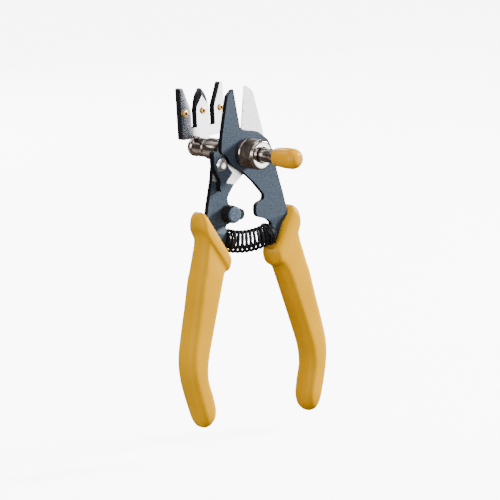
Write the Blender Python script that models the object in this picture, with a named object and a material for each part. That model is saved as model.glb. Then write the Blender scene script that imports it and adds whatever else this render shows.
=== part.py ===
"""Precision wire stripper with a sliding strip-length gauge.

Two flat arms cross at a hollow pivot. A rod slides through the pivot and carries a slotted
gauge plate behind the jaws; a knurled nut clamps it. Lengths are metres, +Z up, jaws upwards,
+X to the right of the tool and -Y towards the nut side.
"""
import math

import bmesh
import bpy
from mathutils import Matrix, Vector

MM = 0.001

# ---- driving dimensions ---------------------------------------------------------------
PIVOT = (-0.4 * MM, 2.4 * MM, 48.7 * MM)    # pivot axis, from the middle of the whole tool
GAP = 0.3 * MM                               # clearance left between touching pieces
ARM_T = 2.3 * MM                             # plate thickness of each arm
ARM_HALF_GAP = 0.15 * MM                     # each arm's inner face, from the mating plane
JOG = 1.3 * MM                               # sideways joggle that brings each tang to mid-plane
JOG_START, JOG_END = 34.0 * MM, 37.6 * MM    # joggle, as distance from the pivot down the arm
BEVEL_W = 2.2 * MM                           # ground bevel along each jaw's cutting edge
PIVOT_BORE = 5.1 * MM

SLEEVE_R, SLEEVE_STEP_R, SLEEVE_ID_R = 4.8 * MM, 4.1 * MM, 3.5 * MM
ROD_R, STUD_R = 3.2 * MM, 1.5 * MM
ROD_FRONT, ROD_SHOULDER, STUD_END = -36.2 * MM, 22.7 * MM, 31.4 * MM
NUT_R, NUT_REAR, NUT_FRONT = 6.8 * MM, -2.75 * MM, -13.9 * MM
BUSHING_R, BUSHING_REAR = 4.95 * MM, 22.4 * MM
CAP_RIM_R, CAP_R, CAP_RIM, CAP_TIP = 4.15 * MM, 4.65 * MM, -23.8 * MM, -37.8 * MM
COLLAR_R, FLANGE_R, FLANGE_REAR = 4.3 * MM, 4.45 * MM, 33.0 * MM

COMB_FRONT, COMB_T = 25.3 * MM, 3.4 * MM
COMB_HALF_W, COMB_BOTTOM, COMB_TOP = 12.85 * MM, 5.2 * MM, 28.8 * MM
SLOT_X, SLOT_HALF_W, SLOT_BOTTOM = 5.4 * MM, 1.6 * MM, 10.0 * MM
EYELET_X, EYELET_Z = 10.7 * MM, 17.2 * MM

RIVET = (-15.4 * MM, -3.2 * MM)
LATCH_T = 3.0 * MM
STOP = (-11.1 * MM, -26.2 * MM)
STOP_HEAD_R, STOP_FACE = 3.8 * MM, -6.0 * MM

SPRING_X0, SPRING_X1 = -12.1 * MM, 13.5 * MM
SPRING_R, WIRE_R, SPRING_TURNS = 4.9 * MM, 0.45 * MM, 10.5
SPRING_LOW_X, SPRING_LOW_Z, SPRING_SAG = 2.5 * MM, -40.8 * MM, 11.6
SEAT_R, PILOT_R = 4.0 * MM, 3.5 * MM

GRIP_HALF_T = 6.0 * MM
GRIP_CORNER = 3.6 * MM
RIGHT_GRIP_SHIFT = (0.8, -6.0)               # right grip against the mirrored left one, mm

# ---- scene set-up ---------------------------------------------------------------------
for old in list(bpy.data.objects):
    bpy.data.objects.remove(old, do_unlink=True)

parts = bpy.data.collections.new("wire_stripper")
cutters = bpy.data.collections.new("cutters")
bpy.context.scene.collection.children.link(parts)
bpy.context.scene.collection.children.link(cutters)

tool_frame = bpy.data.objects.new("tool_frame", None)
tool_frame.location = PIVOT
parts.objects.link(tool_frame)


def material(name, color, roughness, metallic):
    mat = bpy.data.materials.new(name)
    mat.use_nodes = True
    bsdf = mat.node_tree.nodes["Principled BSDF"]
    bsdf.inputs["Base Color"].default_value = (*color, 1.0)
    bsdf.inputs["Roughness"].default_value = roughness
    bsdf.inputs["Metallic"].default_value = metallic
    return mat


steel_blue = material("phosphated_steel", (0.10, 0.13, 0.17), 0.55, 0.6)
chrome = material("nickel_plate", (0.62, 0.58, 0.55), 0.12, 1.0)
bright = material("bright_steel", (0.72, 0.72, 0.74), 0.18, 1.0)
black = material("black_oxide", (0.02, 0.02, 0.022), 0.4, 0.8)
brass = material("brass", (0.80, 0.58, 0.25), 0.25, 1.0)
vinyl = material("yellow_vinyl", (0.95, 0.55, 0.03), 0.35, 0.0)


# ---- helpers --------------------------------------------------------------------------
def add_object(name, bm, mat, at=(0.0, 0.0, 0.0), collection=parts):
    """Turn a bmesh into a named object; `at` is its origin in the tool frame."""
    bmesh.ops.remove_doubles(bm, verts=bm.verts, dist=1e-7)
    bmesh.ops.recalc_face_normals(bm, faces=bm.faces)
    for edge in bm.edges:
        edge.smooth = edge.is_manifold and edge.calc_face_angle(0.0) < math.radians(32)
    for face in bm.faces:
        face.smooth = True
    mesh = bpy.data.meshes.new(name)
    bm.to_mesh(mesh)
    bm.free()
    obj = bpy.data.objects.new(name, mesh)
    collection.objects.link(obj)
    obj.parent = tool_frame
    obj.location = at
    if mat is not None:
        mesh.materials.append(mat)
    return obj


def cut(obj, cutter):
    """Subtract one cutter body from a part."""
    if cutter.name not in cutters.objects:
        cutters.objects.link(cutter)
        parts.objects.unlink(cutter)
    cutter.hide_render = True
    cutter.display_type = "WIRE"
    mod = obj.modifiers.new("cut_" + cutter.name, "BOOLEAN")
    mod.operation = "DIFFERENCE"
    mod.solver = "EXACT"
    mod.object = cutter


def rounded(corners, step=math.radians(15)):
    """Outline in metres from (x, z, radius) corners in mm, each corner filleted by an arc."""
    points = []
    count = len(corners)
    for i, (x, z, r) in enumerate(corners):
        here = Vector((x, z))
        before = Vector(corners[i - 1][:2]) - here
        after = Vector(corners[(i + 1) % count][:2]) - here
        angle = before.angle(after)
        turn = math.pi - angle
        if r <= 0 or turn < math.radians(2):
            points.append(here * MM)
            continue
        reach = min(r / math.tan(angle / 2), before.length * 0.49, after.length * 0.49)
        r = reach * math.tan(angle / 2)
        centre = here + (before.normalized() + after.normalized()).normalized() * (r / math.sin(angle / 2))
        start = here + before.normalized() * reach - centre
        side = 1 if before.x * after.y - before.y * after.x < 0 else -1
        steps = max(1, math.ceil(turn / step))
        for k in range(steps + 1):
            points.append((centre + Matrix.Rotation(side * turn * k / steps, 2) @ start) * MM)
    return points


def grown(outline, d):
    """Outline moved outwards by d, for clearance pockets."""
    area = sum(a.x * b.y - b.x * a.y for a, b in zip(outline, outline[1:] + outline[:1]))
    sign = 1 if area > 0 else -1
    result = []
    for i, p in enumerate(outline):
        e0 = (p - outline[i - 1]).normalized()
        e1 = (outline[(i + 1) % len(outline)] - p).normalized()
        n0, n1 = Vector((e0.y, -e0.x)) * sign, Vector((e1.y, -e1.x)) * sign
        mid = (n0 + n1).normalized()
        result.append(p + mid * (d / max(0.4, mid.dot(n0))))
    return result


def prism(outline, y0, y1):
    """Plate between y0 and y1 from an (x, z) outline."""
    bm = bmesh.new()
    base = bm.faces.new([bm.verts.new((p[0], y0, p[1])) for p in outline])
    raised = bmesh.ops.extrude_face_region(bm, geom=[base])["geom"]
    top = [item for item in raised if isinstance(item, bmesh.types.BMVert)]
    bmesh.ops.translate(bm, verts=top, vec=(0.0, y1 - y0, 0.0))
    return bm


def turned(profile, segments=40):
    """Body of revolution about Y from a closed (radius, y) profile in metres."""
    bm = bmesh.new()
    points = [bm.verts.new((max(r, 0.0), y, 0.0)) for r, y in profile]
    for a, b in zip(points, points[1:] + points[:1]):
        if a.co.x > 0 or b.co.x > 0:
            bm.edges.new((a, b))
    bmesh.ops.spin(bm, geom=bm.verts[:] + bm.edges[:], cent=(0.0, 0.0, 0.0), axis=(0.0, 1.0, 0.0),
                   angle=2 * math.pi, steps=segments, use_merge=True)
    return bm


def hole(name, centre, r, y0, y1, at=(0.0, 0.0, 0.0), segments=36):
    """Round cutter along Y."""
    bm = bmesh.new()
    middle = Matrix.Translation((centre[0], (y0 + y1) / 2, centre[1]))
    bmesh.ops.create_cone(bm, cap_ends=True, segments=segments, radius1=r, radius2=r, depth=y1 - y0,
                          matrix=middle @ Matrix.Rotation(math.radians(90), 4, "X"))
    return add_object(name, bm, None, at, cutters)


# ---- arms -----------------------------------------------------------------------------
JAW_AND_BACK = [
    (19.2, -51.0, 8), (30.4, -84.0, 1.5), (33.4, -84.0, 1.5),
    (28.0, -55.0, 20), (24.6, -38.0, 10), (23.3, -29.5, 10), (21.7, -22.0, 20), (18.3, -10.0, 20),
    (17.2, -3.5, 8), (14.4, 3.9, 7), (8.0, 8.7, 7), (1.5, 10.0, 3), (-0.6, 10.5, 0.4),
    (-2.0, 18.6, 20), (-3.0, 29.2, 0.5), (-5.4, 29.4, 1.6), (-8.7, 26.8, 2.5), (-10.3, 20.6, 8),
    (-13.5, 8.0, 10), (-14.3, 1.9, 0.8), (-12.2, 0.9, 0.6), (-10.9, -0.2, 1.0), (-9.8, -2.4, 1.0),
    (-8.7, -3.9, 1.5),
]
FRONT_WINDOW = [
    (-1.6, -8.6, 5), (4.6, -14.2, 14), (10.1, -20.7, 2.4), (9.6, -22.9, 1.4), (4.7, -24.2, 2.4),
    (4.4, -29.9, 3.0), (11.2, -32.2, 1.0), (14.0, -34.4, 0.5), (16.5, -44.0, 8),
]
REAR_WINDOW = [
    (-1.0, -9.6, 5), (5.8, -13.9, 14), (10.1, -19.2, 2.4), (9.4, -22.6, 1.4), (4.9, -24.0, 2.4),
    (4.4, -29.9, 3.0), (11.6, -31.5, 1.0), (12.3, -33.9, 1.0), (15.4, -43.0, 8),
]


def joggled(bm, down, shift):
    """Bend a plate sideways between two lines across it."""
    for distance in (JOG_START, JOG_END):
        geometry = bm.verts[:] + bm.edges[:] + bm.faces[:]
        bmesh.ops.bisect_plane(bm, geom=geometry, plane_co=down * distance, plane_no=down, dist=1e-7)
    for v in bm.verts:
        along = v.co.dot(down)
        v.co.y += shift * min(1.0, max(0.0, (along - JOG_START) / (JOG_END - JOG_START)))
    return bm


def arm(name, mirror, window, down, clearance=0.0):
    """One stamped arm: jaw, hub, window and tang."""
    corners = [(x * mirror, z, r) for x, z, r in JAW_AND_BACK + window]
    outline = rounded(corners)
    if clearance:
        outline = grown(outline, clearance)
    near, far = ARM_HALF_GAP - clearance, ARM_HALF_GAP + ARM_T + clearance
    side = -1 if mirror > 0 else 1
    bm = joggled(prism(outline, side * near, side * far), down, -side * JOG)
    return add_object(name, bm, None if clearance else steel_blue,
                      collection=cutters if clearance else parts)


def jaw_bevel(name, mirror):
    """Wedge that grinds the jaw's inner edge back from the mating plane."""
    side = -mirror
    y_edge, y_face = side * ARM_HALF_GAP, side * (ARM_HALF_GAP + ARM_T + 0.3 * MM)
    bm = bmesh.new()
    loops = []
    for x, z in ((-0.25 * MM, 10.9 * MM), (-3.35 * MM, 31.0 * MM)):
        run = BEVEL_W * (ARM_T + 0.3 * MM) / ARM_T
        section = ((x, y_edge), (x - run, y_face), (x + 4 * MM, y_face), (x + 4 * MM, y_edge))
        loops.append([bm.verts.new((mirror * sx, sy, z)) for sx, sy in section])
    for k in range(4):
        m = (k + 1) % 4
        bm.faces.new((loops[0][k], loops[0][m], loops[1][m], loops[1][k]))
    bm.faces.new(loops[0])
    bm.faces.new(list(reversed(loops[1])))
    return add_object(name, bm, None, collection=cutters)


def notch(name, x, z, y0, y1, size):
    """Small V that closes on a wire."""
    return add_object(name, prism([(x + size, z), (x, z + size), (x - size, z), (x, z - size)], y0, y1),
                      None, collection=cutters)


left_down = Vector((-0.28, 0.0, -0.96)).normalized()
right_down = Vector((0.11, 0.0, -0.994)).normalized()

front_arm = arm("front_arm", 1, FRONT_WINDOW, right_down)
rear_arm = arm("rear_arm", -1, REAR_WINDOW, left_down)
for obj, tag in ((front_arm, "front"), (rear_arm, "rear")):
    cut(obj, hole("pivot_bore_" + tag, (0.0, 0.0), PIVOT_BORE, -4 * MM, 4 * MM))
    cut(obj, jaw_bevel("jaw_bevel_" + tag, 1 if tag == "front" else -1))
for tag, sign, owner in (("front", -1, front_arm), ("rear", 1, rear_arm)):
    for k, z in enumerate((18.4, 22.6)):
        edge_x = sign * (1.45 + (z - 10.9) * 0.127) * MM
        cut(owner, notch("notch_%s_%d" % (tag, k), edge_x, z * MM, -4 * MM, 4 * MM, 0.4 * MM))
cut(rear_arm, hole("rivet_bore", RIVET, 2.2 * MM, -4 * MM, 4 * MM))
cut(rear_arm, hole("stop_bore", STOP, 2.3 * MM, -4 * MM, 4 * MM))

# ---- pivot stack ----------------------------------------------------------------------
add_object("pivot_sleeve", turned([
    (SLEEVE_ID_R, -10.4 * MM), (SLEEVE_R - 0.3 * MM, -10.4 * MM), (SLEEVE_R, -10.1 * MM),
    (SLEEVE_R, 2.75 * MM), (SLEEVE_STEP_R, 2.75 * MM), (SLEEVE_STEP_R, 9.0 * MM),
    (SLEEVE_ID_R, 9.0 * MM)]), bright)

add_object("thrust_washer", turned([
    (5.1 * MM, 2.75 * MM), (5.7 * MM, 2.75 * MM), (5.7 * MM, 3.55 * MM), (5.1 * MM, 3.55 * MM)]), bright)

add_object("rear_bushing", turned([
    (4.4 * MM, 3.05 * MM), (BUSHING_R - 0.1 * MM, 3.05 * MM), (BUSHING_R - 0.1 * MM, 4.0 * MM),
    (BUSHING_R, 4.1 * MM), (BUSHING_R, 10.8 * MM), (BUSHING_R - 0.35 * MM, 11.1 * MM),
    (BUSHING_R - 0.35 * MM, 12.0 * MM), (BUSHING_R, 12.3 * MM), (BUSHING_R, 21.4 * MM),
    (BUSHING_R - 0.3 * MM, 22.1 * MM), (BUSHING_R - 1.0 * MM, BUSHING_REAR),
    (SLEEVE_ID_R, BUSHING_REAR), (SLEEVE_ID_R, 9.4 * MM), (4.4 * MM, 9.4 * MM)]), chrome)

add_object("clamp_nut", turned([
    (5.1 * MM, NUT_REAR), (NUT_R - 0.35 * MM, NUT_REAR), (NUT_R, NUT_REAR - 0.35 * MM),
    (NUT_R, -5.4 * MM), (NUT_R - 0.3 * MM, -5.6 * MM), (NUT_R - 0.3 * MM, -5.9 * MM),
    (NUT_R, -6.1 * MM), (NUT_R, NUT_FRONT + 1.4 * MM), (NUT_R - 0.5 * MM, NUT_FRONT + 0.1 * MM),
    (NUT_R - 0.7 * MM, NUT_FRONT), (3.8 * MM, NUT_FRONT), (3.6 * MM, NUT_FRONT + 0.3 * MM),
    (3.6 * MM, -12.6 * MM), (5.1 * MM, -12.6 * MM)], 48), chrome)

add_object("clamp_collet", turned([
    (3.45 * MM, -12.3 * MM), (4.7 * MM, -12.3 * MM), (4.4 * MM, -10.7 * MM), (3.45 * MM, -10.7 * MM)]),
    brass)

# ---- sliding gauge --------------------------------------------------------------------
add_object("slide_rod", turned([
    (0.0, ROD_FRONT), (ROD_R - 0.5 * MM, ROD_FRONT), (ROD_R, ROD_FRONT + 0.5 * MM),
    (ROD_R, ROD_SHOULDER - 0.3 * MM), (ROD_R - 0.3 * MM, ROD_SHOULDER), (STUD_R, ROD_SHOULDER),
    (STUD_R, STUD_END - 0.3 * MM), (STUD_R - 0.3 * MM, STUD_END), (0.0, STUD_END)]), chrome)


def cap_profile():
    """Soft cap: straight wall flaring slightly, then a domed end."""
    outer = [(CAP_RIM_R - 0.35 * MM, CAP_RIM), (CAP_RIM_R, CAP_RIM - 0.4 * MM),
             (CAP_R - 0.1 * MM, CAP_RIM - 3.5 * MM), (CAP_R, CAP_RIM - 6.0 * MM)]
    dome_start = CAP_TIP + 4.2 * MM
    for k in range(0, 6):
        a = math.radians(15 * k)
        outer.append((CAP_R * math.cos(a) ** 0.8, dome_start - 4.2 * MM * math.sin(a)))
    outer.append((0.0, CAP_TIP))
    inner = [(0.0, -36.5 * MM), (3.5 * MM, -36.5 * MM), (3.5 * MM, CAP_RIM)]
    return outer + inner


add_object("rod_cap", turned(cap_profile()), vinyl)

add_object("carrier_collar", turned([
    (1.8 * MM, 23.0 * MM), (COLLAR_R - 0.3 * MM, 23.0 * MM), (COLLAR_R, 23.3 * MM),
    (COLLAR_R, COMB_FRONT - GAP), (1.8 * MM, COMB_FRONT - GAP)]), black)

comb_rear = COMB_FRONT + COMB_T
add_object("spacer_ring", turned([
    (1.8 * MM, comb_rear + GAP), (4.1 * MM, comb_rear + GAP), (4.1 * MM, 29.9 * MM),
    (1.8 * MM, 29.9 * MM)]), black)

add_object("end_cap_nut", turned([
    (1.8 * MM, 30.2 * MM), (FLANGE_R - 0.5 * MM, 30.2 * MM), (FLANGE_R, 30.7 * MM),
    (FLANGE_R, 32.0 * MM), (FLANGE_R - 0.3 * MM, 32.7 * MM), (FLANGE_R - 1.0 * MM, FLANGE_REAR),
    (0.0, FLANGE_REAR), (0.0, 31.7 * MM), (1.8 * MM, 31.7 * MM)]), chrome)


def comb_outline():
    """Three-pronged plate on a round lug."""
    w, b, t = COMB_HALF_W / MM, COMB_BOTTOM / MM, COMB_TOP / MM
    s0, s1, floor = SLOT_X / MM - SLOT_HALF_W / MM, SLOT_X / MM + SLOT_HALF_W / MM, SLOT_BOTTOM / MM
    right = [
        (3.4, b, 0.6), (w, b, 0.8), (w, t, 0.9), (w - 2.2, t, 0.9), (s1 + 1.1, 23.4, 6),
        (s1, 18.6, 3), (s1, floor, 0.4), (s0, floor, 0.4), (s0, 19.2, 4), (s0 - 1.3, 23.8, 6),
        (0.4, 27.4, 0.4),
    ]
    left = [(-x, z, r) for x, z, r in reversed(right)]
    top = rounded([(3.4, 2.6, 0)] + right + left + [(-3.4, 2.6, 0)])
    start = math.atan2(2.6, -3.4)
    sweep = 2 * math.pi - 2 * (start - math.pi / 2)
    lug_r = math.hypot(3.4, 2.6) * MM
    lug = [Vector((lug_r * math.cos(start + sweep * k / 20), lug_r * math.sin(start + sweep * k / 20)))
           for k in range(1, 20)]
    return top + lug


comb = add_object("comb_plate", prism(comb_outline(), COMB_FRONT, comb_rear), bright)
cut(comb, hole("stud_bore", (0.0, 0.0), 1.8 * MM, 24 * MM, 30 * MM))
for tag, x in (("left", -EYELET_X), ("middle", 0.0), ("right", EYELET_X)):
    cut(comb, hole("eyelet_bore_" + tag, (x, EYELET_Z), 1.3 * MM, 24 * MM, 30 * MM, segments=24))
    add_object("guide_eyelet_" + tag, turned([
        (0.5 * MM, -0.75 * MM), (1.1 * MM, -0.75 * MM), (1.5 * MM, -0.55 * MM), (1.5 * MM, -GAP),
        (1.0 * MM, -GAP), (1.0 * MM, COMB_T + GAP), (1.4 * MM, COMB_T + GAP),
        (1.4 * MM, COMB_T + 0.6 * MM), (0.5 * MM, COMB_T + 0.6 * MM)], 24),
        brass, (x, COMB_FRONT, EYELET_Z))

# ---- latch ----------------------------------------------------------------------------
LATCH = [
    (-19.4, 3.1, 1.0), (-16.5, 3.4, 1.3), (-15.3, 0.9, 1.0), (-12.9, 0.1, 2.5), (-11.3, -4.7, 2.5),
    (-8.9, -7.6, 0.6), (-10.2, -9.0, 0.5), (-12.6, -11.0, 2.0), (-13.4, -14.4, 1.2),
    (-16.0, -15.6, 1.0), (-16.7, -13.8, 1.0), (-16.3, -10.0, 3), (-17.8, -7.2, 3), (-19.5, -3.5, 3),
]
rivet_at = (RIVET[0], 0.0, RIVET[1])
latch_outline = [p - Vector(RIVET) for p in rounded(LATCH)]
latch = add_object("latch_lever", prism(latch_outline, -0.15 * MM - LATCH_T, -0.15 * MM),
                   steel_blue, rivet_at)
cut(latch, hole("latch_bore", (0.0, 0.0), 2.2 * MM, -5 * MM, 2 * MM, rivet_at))

add_object("latch_rivet", turned([
    (0.0, -4.95 * MM), (1.9 * MM, -4.9 * MM), (2.7 * MM, -4.6 * MM), (3.05 * MM, -4.1 * MM),
    (3.05 * MM, -3.45 * MM), (1.9 * MM, -3.45 * MM), (1.9 * MM, 2.2 * MM), (1.7 * MM, 2.4 * MM),
    (0.0, 2.4 * MM)], 32), bright, rivet_at)

# ---- adjustable stop ------------------------------------------------------------------
stop_at = (STOP[0], 0.0, STOP[1])
add_object("stop_pin", turned([
    (0.0, STOP_FACE), (STOP_HEAD_R - 0.35 * MM, STOP_FACE), (STOP_HEAD_R, STOP_FACE + 0.35 * MM),
    (STOP_HEAD_R, -2.65 * MM), (2.0 * MM, -2.65 * MM), (2.0 * MM, 3.9 * MM), (1.7 * MM, 4.2 * MM),
    (0.0, 4.2 * MM)], 36), steel_blue, stop_at)

cam = add_object("stop_cam", prism(rounded([
    (-3.2, 3.4, 3.2), (1.5, 4.0, 3.5), (8.7, 0.4, 2.0), (8.6, -3.2, 2.0), (1.2, -4.4, 3.5),
    (-3.6, -3.0, 3.2)]), -2.35 * MM, -0.15 * MM), black, stop_at)
cut(cam, hole("cam_bore", (0.0, 0.0), 2.3 * MM, -4 * MM, 2 * MM, stop_at))

add_object("stop_retainer", turned([
    (2.3 * MM, 2.75 * MM), (3.7 * MM, 2.75 * MM), (3.7 * MM, 3.55 * MM), (2.3 * MM, 3.55 * MM)], 32),
    black, stop_at)


# ---- return spring --------------------------------------------------------------------
def spring_z(x):
    """Height of the bowed spring axis at x."""
    return SPRING_LOW_Z + SPRING_SAG * (x - SPRING_LOW_X) ** 2


def spring_tangent(x):
    return Vector((1.0, 0.0, 2 * SPRING_SAG * (x - SPRING_LOW_X))).normalized()


def spring_body(name, mat, per_turn=18):
    curve = bpy.data.curves.new(name + "_path", "CURVE")
    curve.dimensions = "3D"
    curve.bevel_depth = WIRE_R
    curve.bevel_resolution = 2
    curve.use_fill_caps = True
    spline = curve.splines.new("POLY")
    total = int(per_turn * SPRING_TURNS)
    spline.points.add(total)
    for k in range(total + 1):
        t = k / total
        eased = t + 0.0875 * math.sin(2 * math.pi * t) / (2 * math.pi)
        x = SPRING_X0 + (SPRING_X1 - SPRING_X0) * eased
        tangent = spring_tangent(x)
        normal = Vector((-tangent.z, 0.0, tangent.x))
        a = 2 * math.pi * k / per_turn
        centre = Vector((x, 0.0, spring_z(x)))
        p = centre + SPRING_R * (math.cos(a) * normal + math.sin(a) * Vector((0.0, 1.0, 0.0)))
        spline.points[k].co = (*p, 1.0)
    source = bpy.data.objects.new(name + "_source", curve)
    parts.objects.link(source)
    graph = bpy.context.evaluated_depsgraph_get()
    mesh = bpy.data.meshes.new_from_object(source.evaluated_get(graph))
    bpy.data.objects.remove(source, do_unlink=True)
    bm = bmesh.new()
    bm.from_mesh(mesh)
    bpy.data.meshes.remove(mesh)
    return add_object(name, bm, mat)


spring_body("return_spring", black)


def seat(name, x, inward):
    """Turned seat: a disc against the tang with a pilot inside the coil."""
    profile = [(0.0, 0.0), (SEAT_R, 0.0), (SEAT_R, 0.7 * MM), (PILOT_R, 0.7 * MM),
               (PILOT_R, 3.0 * MM), (PILOT_R - 0.5 * MM, 3.5 * MM), (0.0, 3.5 * MM)]
    obj = add_object(name, turned(profile, 32), black)
    direction = spring_tangent(x) * inward
    obj.location = Vector((x, 0.0, spring_z(x))) - direction * (WIRE_R + GAP + 0.7 * MM)
    obj.rotation_euler = Vector((0.0, 1.0, 0.0)).rotation_difference(direction).to_euler()


seat("spring_seat_left", SPRING_X0, 1)
seat("spring_seat_right", SPRING_X1, -1)

# ---- grips ----------------------------------------------------------------------------
# Each station: outer (x, z), inner (x, z), half thickness, corner radius; mm, left grip.
GRIP_BODY = [
    (-31.0, -45.5, -18.6, -56.0, 5.9, 4.2), (-33.5, -54.5, -20.4, -60.5, 6.0, 3.7),
    (-35.9, -65.0, -23.2, -68.8, 6.0, 3.6), (-38.5, -75.0, -26.5, -78.8, 6.0, 3.6),
    (-40.8, -85.0, -29.4, -88.0, 6.0, 3.6), (-41.4, -92.0, -30.5, -94.0, 6.0, 3.6),
    (-40.6, -99.5, -30.4, -99.5, 6.0, 3.6), (-38.6, -107.5, -29.3, -106.0, 6.0, 3.6),
    (-36.7, -114.0, -28.2, -112.0, 5.8, 3.8), (-35.0, -118.3, -28.0, -116.5, 4.9, 4.0),
    (-33.4, -120.3, -29.0, -119.2, 3.2, 3.0), (-32.2, -120.8, -30.4, -120.4, 1.6, 0.9),
]
LEFT_MOUTH = [
    (-26.9, -23.0, -13.9, -45.2, 2.6, 1.0), (-27.9, -22.8, -13.0, -46.4, 4.6, 3.0),
    (-29.4, -24.6, -12.9, -48.4, 5.7, 5.0), (-29.9, -29.0, -14.6, -51.0, 6.0, 5.2),
    (-28.4, -34.6, -16.8, -52.8, 5.6, 4.8),
]
RIGHT_MOUTH = [
    (-25.2, -28.9, -13.6, -47.4, 2.6, 1.0), (-27.0, -28.2, -12.6, -48.5, 4.6, 3.0),
    (-29.6, -30.2, -12.4, -50.6, 5.7, 5.0), (-30.4, -34.6, -13.7, -53.4, 6.0, 5.2),
    (-29.2, -40.4, -16.6, -56.4, 5.6, 4.8),
]


def smooth_rows(rows, steps):
    """Catmull-Rom rows between the given stations."""
    result = []
    for i in range(len(rows) - 1):
        p0, p1, p2 = rows[max(0, i - 1)], rows[i], rows[i + 1]
        p3 = rows[min(len(rows) - 1, i + 2)]
        for k in range(steps):
            t = k / steps
            result.append([
                0.5 * (2 * b + (c - a) * t + (2 * a - 5 * b + 4 * c - d) * t * t
                       + (3 * b - a - 3 * c + d) * t ** 3)
                for a, b, c, d in zip(p0, p1, p2, p3)])
    result.append(list(rows[-1]))
    return result


def grip(name, mirror, mouth, shift):
    """Dipped sleeve lofted from mouth to rounded end."""
    rows = [list(r) for r in mouth]
    rows += [[xo - shift[0], zo + shift[1], xi - shift[0], zi + shift[1], h, c]
             for xo, zo, xi, zi, h, c in GRIP_BODY]
    bm = bmesh.new()
    rings = []
    for xo, zo, xi, zi, h, c in smooth_rows(rows, 2):
        outer, inner = Vector((xo, zo)), Vector((xi, zi))
        half = (inner - outer).length / 2
        along = (inner - outer).normalized()
        mid = (inner + outer) / 2
        c = min(c, half, h)
        ring = []
        for sx, sy, a0 in ((1, 1, 0), (-1, 1, 90), (-1, -1, 180), (1, -1, 270)):
            for k in range(5):
                a = math.radians(a0 + 22.5 * k)
                u = sx * (half - c) + c * math.cos(a)
                y = sy * (h - c) + c * math.sin(a)
                p = mid + along * u
                ring.append(bm.verts.new((p.x * mirror * MM, y * MM, p.y * MM)))
        rings.append(ring)
    for a, b in zip(rings, rings[1:]):
        for k in range(len(a)):
            m = (k + 1) % len(a)
            bm.faces.new((a[k], a[m], b[m], b[k]))
    bm.faces.new(rings[0])
    bm.faces.new(list(reversed(rings[-1])))
    return add_object(name, bm, vinyl)


left_grip = grip("left_grip", 1, LEFT_MOUTH, (0.0, 0.0))
right_grip = grip("right_grip", -1, RIGHT_MOUTH, RIGHT_GRIP_SHIFT)
cut(left_grip, arm("left_pocket", -1, REAR_WINDOW, left_down, GAP))
cut(right_grip, arm("right_pocket", 1, FRONT_WINDOW, right_down, GAP))
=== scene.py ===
import math

import bmesh
import bpy
from mathutils import Matrix, Vector


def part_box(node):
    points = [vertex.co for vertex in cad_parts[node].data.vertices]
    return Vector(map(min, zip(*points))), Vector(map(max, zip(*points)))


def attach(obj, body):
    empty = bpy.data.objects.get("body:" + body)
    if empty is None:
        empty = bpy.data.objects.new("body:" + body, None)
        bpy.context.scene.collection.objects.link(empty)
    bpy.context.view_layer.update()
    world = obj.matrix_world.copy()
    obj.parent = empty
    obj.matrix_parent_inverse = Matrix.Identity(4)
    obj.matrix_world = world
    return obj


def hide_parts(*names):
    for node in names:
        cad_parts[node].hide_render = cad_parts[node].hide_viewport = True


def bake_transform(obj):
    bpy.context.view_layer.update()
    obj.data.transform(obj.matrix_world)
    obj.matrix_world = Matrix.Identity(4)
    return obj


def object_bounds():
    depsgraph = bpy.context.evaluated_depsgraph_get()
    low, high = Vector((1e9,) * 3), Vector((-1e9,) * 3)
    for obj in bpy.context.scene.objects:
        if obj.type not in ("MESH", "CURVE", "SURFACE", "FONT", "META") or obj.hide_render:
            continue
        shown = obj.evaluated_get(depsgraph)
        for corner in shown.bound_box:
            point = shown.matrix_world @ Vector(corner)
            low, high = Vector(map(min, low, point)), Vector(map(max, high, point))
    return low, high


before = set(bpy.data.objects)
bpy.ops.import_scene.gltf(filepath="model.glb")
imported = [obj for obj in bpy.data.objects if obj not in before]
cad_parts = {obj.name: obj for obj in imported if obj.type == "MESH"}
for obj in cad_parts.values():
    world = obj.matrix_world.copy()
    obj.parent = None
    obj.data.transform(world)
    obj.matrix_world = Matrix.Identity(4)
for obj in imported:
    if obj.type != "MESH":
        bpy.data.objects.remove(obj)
first_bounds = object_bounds()

# Sizes of replaced pieces are mm about PIVOT, the point on the pivot axis midway between the arms.
# In a turned profile each point is (radius, y), and -Y is towards the nut and the cap.
MM = 0.001


def middle(node):
    lo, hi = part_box(node)
    return (lo + hi) / 2


front_lo, rear_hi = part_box("front_arm")[0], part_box("rear_arm")[1]
PIVOT = Vector((middle("pivot_sleeve").x, (front_lo.y + rear_hi.y) / 2, middle("pivot_sleeve").z))


def smoothstep(t):
    t = min(1.0, max(0.0, t))
    return t * t * (3 - 2 * t)


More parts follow.
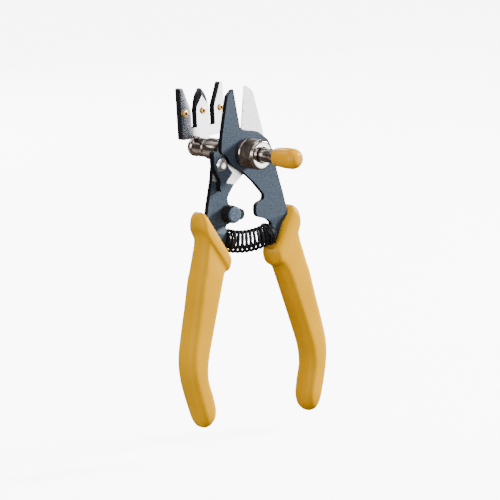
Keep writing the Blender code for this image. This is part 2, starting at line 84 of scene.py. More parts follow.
# ---- materials ------------------------------------------------------------------------
class Nodes:
    """Writes one material's node tree as nested calls; i0, i1 ... are input sockets by number."""

    def __init__(self, name):
        self.mat = bpy.data.materials.new(name)
        self.mat.use_nodes = True
        self.tree = self.mat.node_tree
        self.bsdf = self.tree.nodes["Principled BSDF"]
        self.coords = self.tree.nodes.new("ShaderNodeTexCoord")

    def add(self, kind, settings=None, **sockets):
        node = self.tree.nodes.new(kind)
        for key, value in (settings or {}).items():
            setattr(node, key, value)
        for key, value in sockets.items():
            self.put(node.inputs[int(key[1:])] if key[0] == "i" and key[1:].isdigit()
                     else node.inputs[key.replace("_", " ")], value)
        return node

    def put(self, socket, value):
        if isinstance(value, bpy.types.NodeSocket):
            self.tree.links.new(value, socket)
        else:
            socket.default_value = value

    def noise(self, scale, detail=3.0, rough=0.5, vector=None):
        return self.add("ShaderNodeTexNoise", None, Vector=vector or self.coords.outputs["Object"],
                        Scale=scale, Detail=detail, Roughness=rough).outputs["Fac"]

    def math(self, op, a, b=0.0):
        return self.add("ShaderNodeMath", {"operation": op}, i0=a, i1=b).outputs[0]

    def ramp(self, value, low, high, out_low=0.0, out_high=1.0):
        return self.add("ShaderNodeMapRange", {"clamp": True}, i0=value, i1=low, i2=high,
                        i3=out_low, i4=out_high).outputs[0]

    def mix(self, factor, a, b):
        node = self.tree.nodes.new("ShaderNodeMix")
        node.data_type = "RGBA"
        for socket, value in ((node.inputs[0], factor), (node.inputs[6], a), (node.inputs[7], b)):
            self.put(socket, value)
        return node.outputs[2]

    def mix_value(self, factor, a, b):
        return self.add("ShaderNodeMix", {"data_type": "FLOAT"}, i0=factor, i2=a, i3=b).outputs[0]

    def xyz(self, kind):
        """The three parts of a texture coordinate, "Object" or "Normal"."""
        return self.add("ShaderNodeSeparateXYZ", None, i0=self.coords.outputs[kind]).outputs

    def stretched(self, sx, sy, sz):
        return self.add("ShaderNodeMapping", None, Vector=self.coords.outputs["Object"],
                        Scale=(sx, sy, sz)).outputs[0]

    def bump(self, height, strength, distance):
        return self.add("ShaderNodeBump", None, Height=height, Strength=strength,
                        Distance=distance).outputs[0]

    def finish(self, color, rough, metallic, normal=None, **constants):
        self.put(self.bsdf.inputs["Base Color"], color)
        self.put(self.bsdf.inputs["Roughness"], rough)
        self.put(self.bsdf.inputs["Metallic"], metallic)
        if normal is not None:
            self.put(self.bsdf.inputs["Normal"], normal)
        for key, value in constants.items():
            self.bsdf.inputs[key.replace("_", " ")].default_value = value
        return self.mat


def rgba(r, g, b):
    return (r, g, b, 1.0)


# The rear arm is ground above a sloping line, and the front jaw on its bevel above JAW_ROOT.
GRIND_LINE_X = PIVOT.x - 5.2 * MM
GRIND_LINE_Z = PIVOT.z - 13.8 * MM
GRIND_SLOPE = 0.27
JAW_ROOT = PIVOT.z + 10.9 * MM
JAW_EDGE_X = PIVOT.x - 2.45 * MM
JAW_EDGE_SLOPE = 0.1542
BEVEL_NORMAL_Y = 0.68
BEVEL_STEEL = 0.22


def rear_ground(n, normal):
    """Mask of the rear arm's ground mating face, above the sloping grinding line."""
    place = n.xyz("Object")
    drop = n.math("MULTIPLY", n.math("SUBTRACT", place[0], GRIND_LINE_X), GRIND_SLOPE)
    limit = n.math("SUBTRACT", GRIND_LINE_Z, drop)
    above = n.ramp(n.math("SUBTRACT", place[2], limit), -0.1 * MM, 0.1 * MM)
    return n.math("MULTIPLY", above, n.ramp(normal[1], -0.5, -0.7))


def front_ground(n, normal):
    """Weak mask of the front jaw's bevel, the faces that slope back towards the cutting edge."""
    off_bevel = n.math("SUBTRACT", n.math("ABSOLUTE", normal[1]), BEVEL_NORMAL_Y)
    tilt = n.ramp(n.math("ABSOLUTE", off_bevel), 0.12, 0.08)
    above = n.ramp(n.xyz("Object")[2], PIVOT.z + 11 * MM, PIVOT.z + 12 * MM)
    return n.math("MULTIPLY", n.math("MULTIPLY", tilt, BEVEL_STEEL), above)


def front_edge_line(n):
    """Mask of the broken dark line that runs just inside the front jaw's cutting edge."""
    place = n.xyz("Object")
    rise = n.math("SUBTRACT", place[2], JAW_ROOT)
    edge = n.math("SUBTRACT", JAW_EDGE_X, n.math("MULTIPLY", rise, JAW_EDGE_SLOPE))
    inset = n.math("SUBTRACT", edge, place[0])
    ragged = n.math("ADD", inset, n.math("MULTIPLY", n.noise(1100.0, 1.0), -0.5 * MM))
    return n.math("MULTIPLY", n.ramp(ragged, 0.32 * MM, 0.18 * MM), n.ramp(rise, 0.0, 0.6 * MM))


def phosphated(name, ground=None, edge_line=None, lift=1.0):
    """Blue-grey phosphated plate: speckled faces, sheared edges painted near-black as shade, maybe a ground
    zone.
    """
    n = Nodes(name)
    normal = n.xyz("Normal")
    edge = n.ramp(n.math("ABSOLUTE", normal[1]), 0.75, 0.45)
    speckle = n.noise(1500.0, 2.5, 0.65)
    cloud = n.noise(130.0, 3.0)
    dark = rgba(0.020 * lift, 0.031 * lift, 0.047 * lift)
    light = rgba(0.066 * lift, 0.088 * lift, 0.118 * lift)
    face = n.mix(n.ramp(speckle, 0.36, 0.66), dark, light)
    face = n.mix(n.ramp(cloud, 0.3, 0.7, 0.0, 0.35), face, rgba(0.046, 0.054, 0.066))
    # painted shade: every wall that does not face along Y is coloured near-black
    color = n.mix(edge, face, rgba(0.0035, 0.0036, 0.0042))
    rough = n.ramp(speckle, 0.3, 0.7, 0.46, 0.62)
    metallic = 0.0
    if edge_line:
        # a broken dark line painted just inside the front jaw's cutting edge
        color = n.mix(edge_line(n), color, rgba(0.004, 0.004, 0.005))
    if ground:
        mask = ground(n, normal)
        grain = n.noise(1.0, 3.0, 0.7, n.stretched(1300.0, 1300.0, 2100.0))
        steel = n.mix(n.ramp(grain, 0.35, 0.65), rgba(0.66, 0.64, 0.635), rgba(0.97, 0.955, 0.95))
        color = n.mix(mask, color, steel)
        rough = n.mix_value(mask, rough, n.ramp(grain, 0.3, 0.7, 0.30, 0.42))
        metallic = n.mix_value(mask, metallic, 0.75)
    height = n.math("ADD", n.math("MULTIPLY", speckle, 0.6), n.math("MULTIPLY", cloud, 0.4))
    return n.finish(color, rough, metallic, n.bump(height, 0.25, 0.06 * MM), Specular_IOR_Level=0.08)


def plated(name, dark, light, rough):
    """Polished plated metal with hazy patches and fine lines across Y from turning."""
    n = Nodes(name)
    haze = n.noise(420.0, 4.0, 0.6)
    lines = n.noise(1.0, 2.0, 0.5, n.stretched(60.0, 9000.0, 60.0))
    color = n.mix(n.ramp(haze, 0.3, 0.7), rgba(*dark), rgba(*light))
    wear = n.math("ADD", n.math("MULTIPLY", haze, 0.5), n.math("MULTIPLY", lines, 0.5))
    return n.finish(color, n.ramp(wear, 0.3, 0.7, rough * 0.7, rough * 1.5), 1.0,
                    n.bump(lines, 0.10, 0.02 * MM))


def mirror_plate(name):
    """Polished gauge plate: softly blurred mirror with faint polish marks."""
    n = Nodes(name)
    polish = n.noise(1.0, 3.0, 0.6, n.stretched(2500.0, 300.0, 260.0))
    cloud = n.noise(240.0, 2.0, 0.5)
    color = n.mix(n.ramp(polish, 0.35, 0.65), rgba(0.80, 0.81, 0.85), rgba(0.88, 0.89, 0.93))
    return n.finish(color, n.ramp(cloud, 0.3, 0.7, 0.12, 0.17), 1.0)


def blackened(name):
    """Satin black oxide with a fine grain."""
    n = Nodes(name)
    grain = n.noise(1800.0, 3.0, 0.6)
    color = n.mix(n.ramp(grain, 0.35, 0.7), rgba(0.004, 0.004, 0.005), rgba(0.016, 0.016, 0.019))
    return n.finish(color, n.ramp(grain, 0.3, 0.7, 0.26, 0.42), 0.0, n.bump(grain, 0.2, 0.03 * MM),
                    Specular_IOR_Level=0.12)


def brassy(node):
    """Brass with light tarnish; whatever lies within 0.7 mm of the piece's axis is painted dark as the shade
    of a bore.
    """
    n = Nodes(node + "_finish")
    place, axis = n.xyz("Object"), middle(node)
    dx, dz = n.math("SUBTRACT", place[0], axis.x), n.math("SUBTRACT", place[2], axis.z)
    squares = n.math("ADD", n.math("MULTIPLY", dx, dx), n.math("MULTIPLY", dz, dz))
    bore_shade = n.ramp(n.math("SQRT", squares), 0.82 * MM, 0.70 * MM)
    tarnish = n.noise(1500.0, 3.0, 0.6)
    color = n.mix(n.ramp(tarnish, 0.3, 0.7), rgba(0.55, 0.30, 0.055), rgba(0.92, 0.58, 0.17))
    # painted shade: the bore around the axis is coloured near-black
    color = n.mix(bore_shade, color, rgba(0.03, 0.015, 0.004))
    return n.finish(color, n.ramp(tarnish, 0.3, 0.7, 0.34, 0.48), 1.0, n.bump(tarnish, 0.15, 0.03 * MM))


def vinyl(name, deep, pale, rough, gloss):
    """Dipped vinyl: orange-peel skin with pores and a slight colour drift."""
    n = Nodes(name)
    drift = n.noise(45.0, 3.0, 0.5)
    peel = n.noise(900.0, 2.0, 0.5)
    pores = n.noise(5200.0, 2.0, 0.5)
    color = n.mix(n.ramp(drift, 0.3, 0.7), rgba(*deep), rgba(*pale))
    height = n.math("ADD", n.math("MULTIPLY", peel, 0.7), n.math("MULTIPLY", pores, 0.3))
    return n.finish(color, n.ramp(peel, 0.3, 0.7, rough - 0.05, rough + 0.08), 0.0,
                    n.bump(height, 0.22, 0.08 * MM), Specular_IOR_Level=gloss)


def studio_paper(name):
    """Pale floor paper, lit from within so that it stays near white."""
    n = Nodes(name)
    fibre = n.noise(40.0, 4.0)
    color = n.mix(n.ramp(fibre, 0.3, 0.7), rgba(0.86, 0.86, 0.86), rgba(0.89, 0.89, 0.89))
    return n.finish(color, n.ramp(fibre, 0.3, 0.7, 0.85, 0.95), 0.0, n.bump(fibre, 0.02, 0.5 * MM),
                    Emission_Color=rgba(1.0, 1.0, 1.0), Emission_Strength=7.0)


steel_front = phosphated("arm_front_finish", front_ground, front_edge_line)
steel_rear = phosphated("arm_rear_finish", rear_ground)
steel_small = phosphated("phosphate_small")
steel_pin = phosphated("phosphate_pin", lift=1.7)
nickel = plated("nickel_finish", (0.26, 0.20, 0.165), (0.48, 0.40, 0.35), 0.14)
nickel_knurl = plated("nickel_knurl_finish", (0.05, 0.039, 0.030), (0.20, 0.165, 0.135), 0.34)
# painted reflection: a brighter copy of the nickel plate, used on the nut's flat front face
nickel_face_reflection = plated("nickel_face_reflection_finish", (0.78, 0.76, 0.75), (0.90, 0.88, 0.87), 0.09)
bright = plated("bright_finish", (0.60, 0.58, 0.57), (0.82, 0.80, 0.79), 0.15)
rivet_dome = plated("rivet_dome_finish", (0.76, 0.74, 0.73), (0.90, 0.88, 0.87), 0.26)
gauge_steel = mirror_plate("gauge_plate_finish")
# painted shade: the gauge plate's walls and chamfers take this black
gauge_wall_shade = blackened("gauge_wall_shade_finish")
black = blackened("black_oxide_finish")
grip_vinyl = vinyl("grip_vinyl", (0.58, 0.278, 0.0), (0.66, 0.325, 0.0), 0.36, 0.06)
cap_vinyl = vinyl("cap_vinyl", (0.58, 0.258, 0.0), (0.66, 0.295, 0.0), 0.18, 0.16)

FINISH = {
    "front_arm": steel_front, "rear_arm": steel_rear, "latch_lever": steel_small,
    "slide_rod": nickel, "rear_bushing": nickel, "end_cap_nut": nickel, "carrier_collar": nickel,
    "spacer_ring": nickel, "pivot_sleeve": bright, "thrust_washer": bright,
    "stop_cam": black, "stop_retainer": black, "spring_seat_left": black, "spring_seat_right": black,
}
for node in ("clamp_collet", "guide_eyelet_left", "guide_eyelet_middle", "guide_eyelet_right"):
    FINISH[node] = brassy(node)
for node, finish in FINISH.items():
    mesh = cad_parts[node].data
    mesh.materials.clear()
    mesh.materials.append(finish)


# ---- mesh helpers ---------------------------------------------------------------------
CORE_R = 0.02    # a solid turned piece stops this far from its axis


def piece(name, bm, mats, node, body, sharp):
    """Finish a replacement piece and hang it on its body; edges over `sharp` degrees stay crisp."""
    bmesh.ops.remove_doubles(bm, verts=bm.verts, dist=1e-7)
    bmesh.ops.recalc_face_normals(bm, faces=bm.faces)
    for edge in bm.edges:
        edge.smooth = edge.is_manifold and edge.calc_face_angle(0.0) < math.radians(sharp)
    for face in bm.faces:
        face.smooth = True
    mesh = bpy.data.meshes.new(name)
    bm.to_mesh(mesh)
    bm.free()
    for mat in mats:
        mesh.materials.append(mat)
    obj = bpy.data.objects.new(name, mesh)
    bpy.context.scene.collection.objects.link(obj)
    mesh.transform(Matrix.Translation(PIVOT))
    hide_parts(node)
    if body:
        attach(obj, body)
    return obj


def turned(profile, segments, radius=None, face_slot=None):
    """Revolve a closed profile about Y; radius(r, y, angle) can add relief."""
    bm = bmesh.new()
    rings = []
    for r, y in profile:
        ring = []
        for k in range(segments):
            a = 2 * math.pi * k / segments
            rr = radius(r, y, a) if radius else r
            ring.append(bm.verts.new((rr * MM * math.cos(a), y * MM, rr * MM * math.sin(a))))
        rings.append(ring)
    for i in range(len(rings)):
        j = (i + 1) % len(rings)
        for k in range(segments):
            m = (k + 1) % segments
            face = bm.faces.new((rings[i][k], rings[i][m], rings[j][m], rings[j][k]))
            if face_slot:
                face.material_index = face_slot(profile[i], profile[j])
    return bm


def loft(bm, rings, wall_slot=None):
    """Join rings of equal length into one closed skin; wall_slot(k, m) picks a wall's material."""
    for a, b in zip(rings, rings[1:]):
        for k in range(len(a)):
            m = (k + 1) % len(a)
            face = bm.faces.new((a[k], a[m], b[m], b[k]))
            if wall_slot:
                face.material_index = wall_slot(k, m)
    bm.faces.new(rings[0])
    bm.faces.new(list(reversed(rings[-1])))


def arc(cx, cy, r, start, end, steps=6):
    """Points of a fillet, angles in degrees."""
    angles = [math.radians(start + (end - start) * k / steps) for k in range(steps + 1)]
    return [(cx + r * math.cos(a), cy + r * math.sin(a)) for a in angles]


def move_to_axis(bm, node):
    """Shift a turned piece from the pivot axis to the axis of its CAD node."""
    shift = middle(node) - PIVOT
    bmesh.ops.translate(bm, verts=bm.verts, vec=(shift.x, 0.0, shift.z))


# ---- clamp nut ------------------------------------------------------------------------
NUT_R, NUT_BACK, NUT_FRONT = 6.8, -2.75, -13.9
NUT_BORE_R, NUT_BORE_END, NUT_MOUTH_R = 5.1, -12.6, 3.6
NUT_BACK_FILLET, NUT_FRONT_FILLET = 0.45, 0.6
GROOVE_R, GROOVE_BACK, GROOVE_FRONT = 6.5, -5.35, -6.12
KNURL_BACK, KNURL_FRONT, KNURL_FADE = -6.15, -12.3, 0.25
KNURL_TEETH, KNURL_PITCH, KNURL_WIDTH, KNURL_DEPTH = 44, 1.0, 0.22, 0.17
KNURL_ROWS, KNURL_ROW = 51, 0.125
# Nut slots: plain nickel, the front face's brighter copy with painted reflection, and a darker, rougher copy
# on the knurled band.
PLAIN, FACE, KNURLED = 0, 1, 2


def knurl(r, y, a):
    """Two crossing sets of fine grooves on the nut's outer band."""
    if r < NUT_R - 0.1 or not KNURL_FRONT < y < KNURL_BACK:
        return r
    around, across = a * KNURL_TEETH / (2 * math.pi), y / KNURL_PITCH
    depth = max(1 - abs((t % 1.0) - 0.5) / KNURL_WIDTH for t in (around + across, around - across))
    fade = min(1.0, (y - KNURL_FRONT) / KNURL_FADE, (KNURL_BACK - y) / KNURL_FADE)
    return r - KNURL_DEPTH * max(0.0, depth) * fade


def nut_face_slot(p, q):
    if max(p[1], q[1]) < NUT_FRONT + 0.2:
        return FACE
    outside = min(p[0], q[0]) > NUT_R - 0.1
    on_band = KNURL_FRONT - 0.1 < min(p[1], q[1]) and max(p[1], q[1]) < KNURL_BACK + 0.15
    return KNURLED if outside and on_band else PLAIN


def clamp_nut():
    profile = [(NUT_BORE_R, NUT_BACK)]
    profile += arc(NUT_R - NUT_BACK_FILLET, NUT_BACK - NUT_BACK_FILLET, NUT_BACK_FILLET, 90, 0)
    profile += [(NUT_R, GROOVE_BACK), (NUT_R - 0.18, GROOVE_BACK - 0.15), (GROOVE_R, GROOVE_BACK - 0.27)]
    profile += [(GROOVE_R, GROOVE_FRONT + 0.24), (NUT_R - 0.18, GROOVE_FRONT + 0.12)]
    profile += [(NUT_R, GROOVE_FRONT - KNURL_ROW * k) for k in range(KNURL_ROWS)]
    profile += arc(NUT_R - NUT_FRONT_FILLET, NUT_FRONT + 1.0, NUT_FRONT_FILLET, -5, -62)
    profile += [(NUT_R - 0.44, NUT_FRONT + 0.35), (NUT_R - 0.52, NUT_FRONT + 0.12), (NUT_R - 0.7, NUT_FRONT)]
    profile += [(NUT_MOUTH_R + 0.3, NUT_FRONT), (NUT_MOUTH_R + 0.08, NUT_FRONT + 0.08)]
    profile += [(NUT_MOUTH_R, NUT_FRONT + 0.3), (NUT_MOUTH_R, NUT_BORE_END), (NUT_BORE_R, NUT_BORE_END)]
    piece("clamp_nut_visual", turned(profile, 8 * KNURL_TEETH, knurl, nut_face_slot),
          [nickel, nickel_face_reflection, nickel_knurl], "clamp_nut", "nut", 50)


# ---- latch rivet ----------------------------------------------------------------------
RIVET_R, RIVET_TOP, DOME_DEPTH, DOME_STEPS = 3.05, -4.95, 1.25, 14
RIVET_SEAT, RIVET_SHANK_R, RIVET_END = -3.45, 1.9, 2.4


def latch_rivet():
    profile = [(CORE_R, RIVET_TOP)]
    for k in range(1, DOME_STEPS + 1):
        t = k / DOME_STEPS
        profile.append((RIVET_R * t, RIVET_TOP + DOME_DEPTH * t ** 3.2))
    profile += [(RIVET_R - 0.05, RIVET_SEAT - 0.02), (RIVET_R - 0.25, RIVET_SEAT)]
    profile += [(RIVET_SHANK_R, RIVET_SEAT), (RIVET_SHANK_R, RIVET_END - 0.2)]
    profile += [(RIVET_SHANK_R - 0.2, RIVET_END), (CORE_R, RIVET_END)]
    bm = turned(profile, 64)
    move_to_axis(bm, "latch_rivet")
    piece("latch_rivet_visual", bm, [rivet_dome], "latch_rivet", "left_half", 40)


# ---- stop pin -------------------------------------------------------------------------
PIN_R, PIN_FRONT, PIN_FILLET = 3.95, -6.0, 1.2
PIN_SEAT, PIN_SHANK_R, PIN_END = -2.65, 2.0, 4.2
# painted shade: the back part of the pin head's side takes the black finish
PIN_SHADE_FROM = -4.9    # the head's side is black from here back


def stop_pin():
    profile = [(CORE_R, PIN_FRONT), (PIN_R - 1.35, PIN_FRONT)]
    profile += arc(PIN_R - PIN_FILLET, PIN_FRONT + PIN_FILLET, PIN_FILLET, -90, 0)
    profile += [(PIN_R, PIN_FRONT + 1.4), (PIN_R, PIN_SEAT - 0.1), (PIN_R - 0.1, PIN_SEAT)]
    profile += [(PIN_SHANK_R, PIN_SEAT), (PIN_SHANK_R, PIN_END - 0.3), (PIN_SHANK_R - 0.3, PIN_END)]
    profile += [(CORE_R, PIN_END)]
    bm = turned(profile, 72, None, lambda p, q: int(min(p[1], q[1]) > PIN_SHADE_FROM))
    move_to_axis(bm, "stop_pin")
    piece("stop_pin_visual", bm, [steel_pin, black], "stop_pin", "stop", 40)


# ---- soft end cap ---------------------------------------------------------------------
CAP_R, CAP_BORE_R, CAP_MOUTH_R = 4.65, 3.5, 4.17
CAP_MOUTH, CAP_SHOULDER, CAP_END, CAP_BORE_END = -23.8, -33.2, -37.8, -36.5


def rod_cap():
    """A dipped cap that widens from its rolled mouth to a blunt dome."""
    profile = [(CAP_BORE_R, CAP_MOUTH), (CAP_BORE_R + 0.25, CAP_MOUTH + 0.08)]
    profile += arc(CAP_MOUTH_R - 0.32, CAP_MOUTH - 0.25, 0.32, 90, 0, 5)
    for k in range(1, 10):
        widened = math.sin(math.pi / 2 * min(1.0, k / 8))
        profile.append((CAP_MOUTH_R + (CAP_R - CAP_MOUTH_R) * widened, CAP_MOUTH - 0.6 - 0.95 * k))
    for k in range(1, 15):
        a = math.radians(6 * k)
        profile.append((CAP_R * math.cos(a) ** 0.72, CAP_SHOULDER + (CAP_END - CAP_SHOULDER) * math.sin(a)))
    profile += [(CORE_R, CAP_END), (CORE_R, CAP_BORE_END), (CAP_BORE_R, CAP_BORE_END)]
    piece("rod_cap_visual", turned(profile, 96), [cap_vinyl], "rod_cap", "gauge", 60)


# ---- gauge plate ----------------------------------------------------------------------
PLATE_X, PLATE_FOOT, PLATE_TOP = 12.85, 5.2, 28.8
SLOT_IN, SLOT_OUT, SLOT_FLOOR, SLOT_TOP = 3.8, 7.0, 10.0, 17.0
ARCH_BASE, ARCH_TIP, ARCH_STEPS = 17.8, 27.5, 14
FLARE_BASE, FLARE_TOP, FLARE_X = 18.2, 28.1, 3.5
LUG_X, LUG_Z, LUG_STEPS = 3.4, 2.6, 28
LUG_R = math.hypot(LUG_X, LUG_Z)
CHAMFER = 0.7 * MM


def gauge_outline():
    """Three prongs over a round lug: the right half down to the slots, mirrored, then the lug."""
    half = [(LUG_X, LUG_Z), (LUG_X, PLATE_FOOT), (PLATE_X - 0.65, PLATE_FOOT)]
    half += [(PLATE_X - 0.25, PLATE_FOOT + 0.15), (PLATE_X, PLATE_FOOT + 0.6)]
    half += [(PLATE_X, PLATE_TOP - 0.6), (PLATE_X - 0.15, PLATE_TOP - 0.2), (PLATE_X - 0.55, PLATE_TOP)]
    half += [(PLATE_X - 1.65, PLATE_TOP), (PLATE_X - 2.05, PLATE_TOP - 0.2), (SLOT_OUT + FLARE_X, FLARE_TOP)]
    for z in (27.0, 25.6, 24.2, 22.8, 21.4, 20.2, 19.2, 18.4):
        half.append((SLOT_OUT + FLARE_X * ((z - FLARE_BASE) / (FLARE_TOP - FLARE_BASE)) ** 1.25, z))
    half += [(SLOT_OUT, SLOT_TOP), (SLOT_OUT, SLOT_FLOOR + 0.4), (SLOT_OUT - 0.1, SLOT_FLOOR + 0.1)]
    half += [(SLOT_OUT - 0.4, SLOT_FLOOR), (SLOT_IN + 0.4, SLOT_FLOOR), (SLOT_IN + 0.1, SLOT_FLOOR + 0.1)]
    half += [(SLOT_IN, SLOT_FLOOR + 0.4), (SLOT_IN, SLOT_TOP)]
    for k in range(1, ARCH_STEPS):
        t = k / ARCH_STEPS
        half.append((SLOT_IN * (1 - t ** 2.6), ARCH_BASE + (ARCH_TIP - ARCH_BASE) * t))
    points = half + [(0.0, ARCH_TIP)] + [(-x, z) for x, z in reversed(half)]
    start = math.atan2(LUG_Z, -LUG_X)
    sweep = 2 * math.pi - 2 * (start - math.pi / 2)
    for k in range(1, LUG_STEPS):
        a = start + sweep * k / LUG_STEPS
        points.append((LUG_R * math.cos(a), LUG_R * math.sin(a)))
    return points


def gauge_face(x, z):
    """Either flat face is smaller than the outline: the prongs are ground away towards their tips."""
    w = smoothstep((z - 16.5) / 10.5)
    if abs(x) < SLOT_IN + 0.1 and z > SLOT_FLOOR:
        return x * (1 - 0.32 * w), z - 3.2 * w
    if abs(x) > SLOT_OUT - 0.5 and z > SLOT_FLOOR + 0.5:
        outer_part = (PLATE_X - abs(x)) / (PLATE_X - SLOT_OUT)
        return x + math.copysign(1.15 * w * outer_part, x), z
    return x, z


def gauge_plate():
    lo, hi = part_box("comb_plate")
    front, rear = lo.y - PIVOT.y, hi.y - PIVOT.y
    outline = gauge_outline()
    faces = [gauge_face(x, z) for x, z in outline]
    bm = bmesh.new()
    rims = []
    for y, points in ((front, faces), (front + CHAMFER, outline), (rear - CHAMFER, outline), (rear, faces)):
        rims.append([bm.verts.new((x * MM, y, z * MM)) for x, z in points])

    def wall_slot(k, m):
        """Plated walls around the lug; elsewhere walls and chamfers are painted black as shade."""
        return 2 if max(math.hypot(*outline[k]), math.hypot(*outline[m])) < LUG_R + 0.1 else 1

    loft(bm, rims, wall_slot)
    piece("gauge_plate_visual", bm, [gauge_steel, gauge_wall_shade, nickel],
          "comb_plate", "gauge", 6)


# ---- return spring --------------------------------------------------------------------
SPRING_X0, SPRING_X1 = -12.1 * MM, 13.5 * MM
TURNS, PER_TURN, COIL_R, COIL_DEPTH = 11.5, 40, 4.64 * MM, 2.2 * MM
WIRE_R, WIRE_SIDES = 0.71 * MM, 10
END_PITCH, MIDDLE_PITCH = 1.35, 2.5    # only their ratio counts
BOW, BOW_X, BOW_Z = 11.6, 2.5 * MM, -40.8 * MM    # the axis is a parabola, BOW per metre
DEPTH_WAY = Vector((0.0, 1.0, 0.0))


def spring_reach(total):
    """Distance along the axis at each step: close turns at the ends, open ones between."""
    reach = [0.0]
    for k in range(total):
        from_end = min(k / PER_TURN - 1.0, (total - k) / PER_TURN - 0.6)
        reach.append(reach[-1] + END_PITCH + (MIDDLE_PITCH - END_PITCH) * smoothstep(from_end / 1.2))
    return reach


def return_spring():
    """A bowed coil whose turns are round at the ends and oval, shallower in Y, between them."""
    total = int(TURNS * PER_TURN)
    reach = spring_reach(total)
    bm = bmesh.new()
    rings = []
    for k in range(total + 1):
        t = k / total
        x = SPRING_X0 + (SPRING_X1 - SPRING_X0) * reach[k] / reach[-1]
        tangent = Vector((1.0, 0.0, 2 * BOW * (x - BOW_X))).normalized()
        upward = Vector((-tangent.z, 0.0, tangent.x))
        centre = Vector((x, 0.0, BOW_Z + BOW * (x - BOW_X) ** 2))
        oval = smoothstep((min(t, 1 - t) * TURNS - 0.9) / 0.8)
        depth = COIL_R + (COIL_DEPTH - COIL_R) * oval
        a = 2 * math.pi * k / PER_TURN
        spot = centre + COIL_R * math.cos(a) * upward + depth * math.sin(a) * DEPTH_WAY
        radial = (depth * math.cos(a) * upward + COIL_R * math.sin(a) * DEPTH_WAY).normalized()
        ring = []
        for j in range(WIRE_SIDES):
            b = 2 * math.pi * j / WIRE_SIDES
            ring.append(bm.verts.new(spot + WIRE_R * (radial * math.cos(b) + tangent * math.sin(b))))
        rings.append(ring)
    loft(bm, rings)
    spring = piece("return_spring_visual", bm, [black], "return_spring", None, 60)
    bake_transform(spring)


# ---- grips ----------------------------------------------------------------------------
# Stations: outer x, z, inner x, z, half thickness, corner radius, seen as the left grip. A mouth
# starts at the arm's tang, widens over the lip and narrows to the body, which closes at its end.
BODY = [
    (-31.0, -45.5, -18.6, -56.0, 5.9, 4.2), (-33.5, -54.5, -20.4, -60.5, 6.0, 3.7),
    (-35.9, -65.0, -23.2, -68.8, 6.0, 3.6), (-38.5, -75.0, -26.5, -78.8, 6.0, 3.6),
    (-40.8, -85.0, -29.4, -88.0, 6.0, 3.6), (-41.4, -92.0, -30.5, -94.0, 6.0, 3.6),
    (-40.6, -99.5, -30.4, -99.5, 6.0, 3.6), (-38.6, -107.5, -28.6, -106.0, 6.0, 3.6),
    (-37.2, -113.6, -27.1, -112.4, 5.8, 3.8), (-36.3, -117.6, -27.0, -116.9, 5.0, 4.2),
    (-34.8, -120.0, -28.7, -119.6, 3.4, 3.0), (-33.0, -120.8, -30.3, -120.7, 1.7, 0.9),
]
LEFT_MOUTH = [
    (-25.6, -25.4, -15.6, -44.6, 2.7, 1.0), (-26.2, -24.2, -14.5, -45.0, 2.8, 1.2),
    (-26.9, -23.2, -13.9, -45.2, 3.2, 1.6), (-27.9, -22.8, -13.0, -46.4, 4.6, 3.2),
    (-29.4, -24.6, -12.9, -48.4, 5.7, 4.6), (-29.9, -29.0, -14.4, -51.2, 6.0, 4.6),
    (-28.4, -34.6, -16.9, -52.7, 5.35, 4.4),
]
RIGHT_MOUTH = [
    (-23.8, -31.2, -15.3, -46.8, 2.7, 1.0), (-24.6, -29.8, -14.2, -47.0, 2.8, 1.2),
    (-25.2, -28.9, -13.6, -47.4, 3.2, 1.6), (-27.0, -28.2, -12.6, -48.5, 4.6, 3.2),
    (-29.6, -30.2, -12.4, -50.6, 5.7, 4.6), (-30.4, -34.6, -13.6, -53.6, 6.0, 4.6),
    (-29.2, -40.4, -16.7, -56.2, 5.35, 4.4),
]


STEPS, CORNER_STEPS, LEAST_CORNER = 7, 10, 0.2
PAD_TOP, PAD_END, PAD_FADE, PAD_RAISE = -50.0, -110.0, 1.6, 0.24    # the outer side's raised pad
RIGHT_OUT, RIGHT_DROP = 0.8, -6.0    # the right grip's body against the left's, mirrored


def smooth_rows(rows, steps):
    """Catmull-Rom interpolation between the stations."""
    result = []
    last = len(rows) - 1
    for i in range(last):
        p0, p1, p2, p3 = rows[max(0, i - 1)], rows[i], rows[i + 1], rows[min(last, i + 2)]
        for k in range(steps):
            t = k / steps
            result.append([0.5 * (2 * b + (c - a) * t + (2 * a - 5 * b + 4 * c - d) * t * t
                                  + (3 * b - a - 3 * c + d) * t ** 3)
                           for a, b, c, d in zip(p0, p1, p2, p3)])
    return result + [list(rows[last])]


def grip_ring(bm, station, drop, mirror):
    """One rounded rectangle across the grip."""
    xo, zo, xi, zi, h, c = station
    outer, inner = Vector((xo, zo)), Vector((xi, zi))
    half, along, mid = (inner - outer).length / 2, (inner - outer).normalized(), (inner + outer) / 2
    c = max(LEAST_CORNER, min(c, half, h))
    level = zo - drop
    pad = min(1.0, max(0.0, (PAD_TOP - level) / PAD_FADE)) * min(1.0, max(0.0, (level - PAD_END) / PAD_FADE))
    ring = []
    for sx, sy, a0 in ((1, 1, 0), (-1, 1, 90), (-1, -1, 180), (1, -1, 270)):
        for k in range(CORNER_STEPS):
            a = math.radians(a0 + 10 * k)
            u = sx * (half - c) + c * math.cos(a)
            y = sy * (h - c) + c * math.sin(a)
            if sx < 0:
                u -= PAD_RAISE * pad * max(0.0, -math.cos(a))
            p = mid + along * u
            ring.append(bm.verts.new((p.x * mirror * MM, y * MM, p.y * MM)))
    return ring


def grip(name, node, body, mirror, mouth, out=0.0, drop=0.0):
    rows = [list(station) for station in mouth]
    rows += [[xo - out, zo + drop, xi - out, zi + drop, h, c] for xo, zo, xi, zi, h, c in BODY]
    bm = bmesh.new()
    loft(bm, [grip_ring(bm, station, drop, mirror) for station in smooth_rows(rows, STEPS)])
    piece(name, bm, [grip_vinyl], node, body, 75)


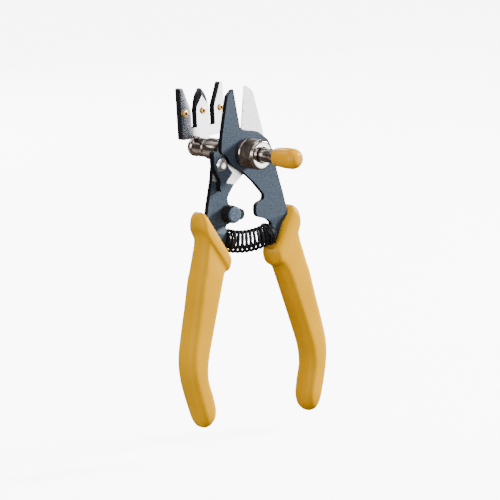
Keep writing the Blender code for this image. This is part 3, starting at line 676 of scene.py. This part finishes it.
clamp_nut()
latch_rivet()
stop_pin()
rod_cap()
gauge_plate()
return_spring()
grip("left_grip_visual", "left_grip", "left_half", 1, LEFT_MOUTH)
grip("right_grip_visual", "right_grip", "right_half", -1, RIGHT_MOUTH, RIGHT_OUT, RIGHT_DROP)

# ---- floor ----------------------------------------------------------------------------
FLOOR_DROP, FLOOR_REACH = 8 * MM, 9.0    # the right grip swings lower as the arms close

floor_z = first_bounds[0][2] - FLOOR_DROP
corners = [(x * FLOOR_REACH, y * FLOOR_REACH, floor_z) for x, y in ((-1, -1), (1, -1), (1, 1), (-1, 1))]
floor_mesh = bpy.data.meshes.new("floor")
floor_mesh.from_pydata(corners, [], [(0, 1, 2, 3)])
floor_mesh.materials.append(studio_paper("studio_floor"))
floor = bpy.data.objects.new("floor", floor_mesh)
bpy.context.scene.collection.objects.link(floor)
floor.visible_diffuse = False
floor.visible_glossy = False

# ---- studio light ---------------------------------------------------------------------
# The world is a dim room with soft discs: direction, inner and outer half angle, strength. The first
# is what the flat fronts mirror, and those at y 0.735 are what the turned pieces mirror.
SKY_BASE = 0.14
SKY_PANELS = [
    ((0.649, -0.735, -0.198), 10, 22, 4.5),
    ((-0.3, -0.5, 0.9), 10, 26, 2.0),
    ((-0.95, -0.1, 0.35), 8, 20, 1.2),
    ((-0.18, 0.735, 0.63), 7, 17, 3.0),
    ((0.30, 0.735, 0.58), 4, 12, 2.5),
    ((-0.55, 0.735, -0.45), 6, 18, 0.7),
]
# Square softboxes aimed at the origin: place, size, power.
SOFTBOXES = {
    "key": ((0.92, -0.52, 0.42), 0.22, 46.0),
    "fill": ((-0.9, -0.8, 0.3), 0.6, 7.5),
    "side": ((-1.15, -0.15, 0.25), 0.5, 8.0),
    "top": ((0.1, -0.1, 1.1), 0.5, 6.0),
    "back": ((0.35, 1.15, 0.5), 0.6, 18.0),
}

world = bpy.data.worlds.new("studio")
world.use_nodes = True
bpy.context.scene.world = world
sky = world.node_tree
sky_direction = sky.nodes.new("ShaderNodeTexCoord").outputs["Generated"]


def sky_math(op, a, b, clamp=False):
    node = sky.nodes.new("ShaderNodeMath")
    node.operation = op
    node.use_clamp = clamp
    for socket, value in zip(node.inputs, (a, b)):
        if isinstance(value, bpy.types.NodeSocket):
            sky.links.new(value, socket)
        else:
            socket.default_value = value
    return node.outputs[0]


def sky_panel(toward, inner, outer, strength):
    dot = sky.nodes.new("ShaderNodeVectorMath")
    dot.operation = "DOT_PRODUCT"
    sky.links.new(sky_direction, dot.inputs[0])
    dot.inputs[1].default_value = Vector(toward).normalized()
    low, high = math.cos(math.radians(outer)), math.cos(math.radians(inner))
    edge = sky_math("DIVIDE", sky_math("SUBTRACT", dot.outputs["Value"], low), high - low, clamp=True)
    return sky_math("MULTIPLY", edge, strength)


glow = SKY_BASE
for toward, inner, outer, strength in SKY_PANELS:
    glow = sky_math("ADD", sky_panel(toward, inner, outer, strength), glow)
background = sky.nodes["Background"]
sky.links.new(glow, background.inputs["Strength"])
background.inputs["Color"].default_value = rgba(1.0, 1.0, 1.0)

for name, (place, size, power) in SOFTBOXES.items():
    light = bpy.data.lights.new(name, "AREA")
    light.shape = "RECTANGLE"
    light.size = size
    light.size_y = size
    light.energy = power
    softbox = bpy.data.objects.new(name, light)
    bpy.context.scene.collection.objects.link(softbox)
    softbox.location = place
    softbox.rotation_euler = (-Vector(place)).to_track_quat("-Z", "Y").to_euler()

# ---- camera, from the photo's viewing angle -------------------------------------------
AZIMUTH, ELEVATION, ROLL = math.radians(-131.454183), math.radians(11.444056), math.radians(-3.193341)
AIM, DISTANCE = PIVOT + Vector((-4.859, -7.368, -43.183)) * MM, 1200.0 * MM

camera_data = bpy.data.cameras.new("camera")
camera_data.lens = 192.0
camera_data.sensor_width = 36.0
camera_data.clip_start = 0.05
camera_data.clip_end = 40.0
camera = bpy.data.objects.new("camera", camera_data)
bpy.context.scene.collection.objects.link(camera)
back = Vector((math.cos(ELEVATION) * math.cos(AZIMUTH), math.cos(ELEVATION) * math.sin(AZIMUTH),
               math.sin(ELEVATION)))
level = Vector((-back.y, back.x, 0.0)).normalized()
right = level * math.cos(ROLL) + back.cross(level) * math.sin(ROLL)
turn = Matrix((right, back.cross(right), back)).transposed()
camera.matrix_world = Matrix.Translation(AIM + back * DISTANCE) @ turn.to_4x4()
bpy.context.scene.camera = camera
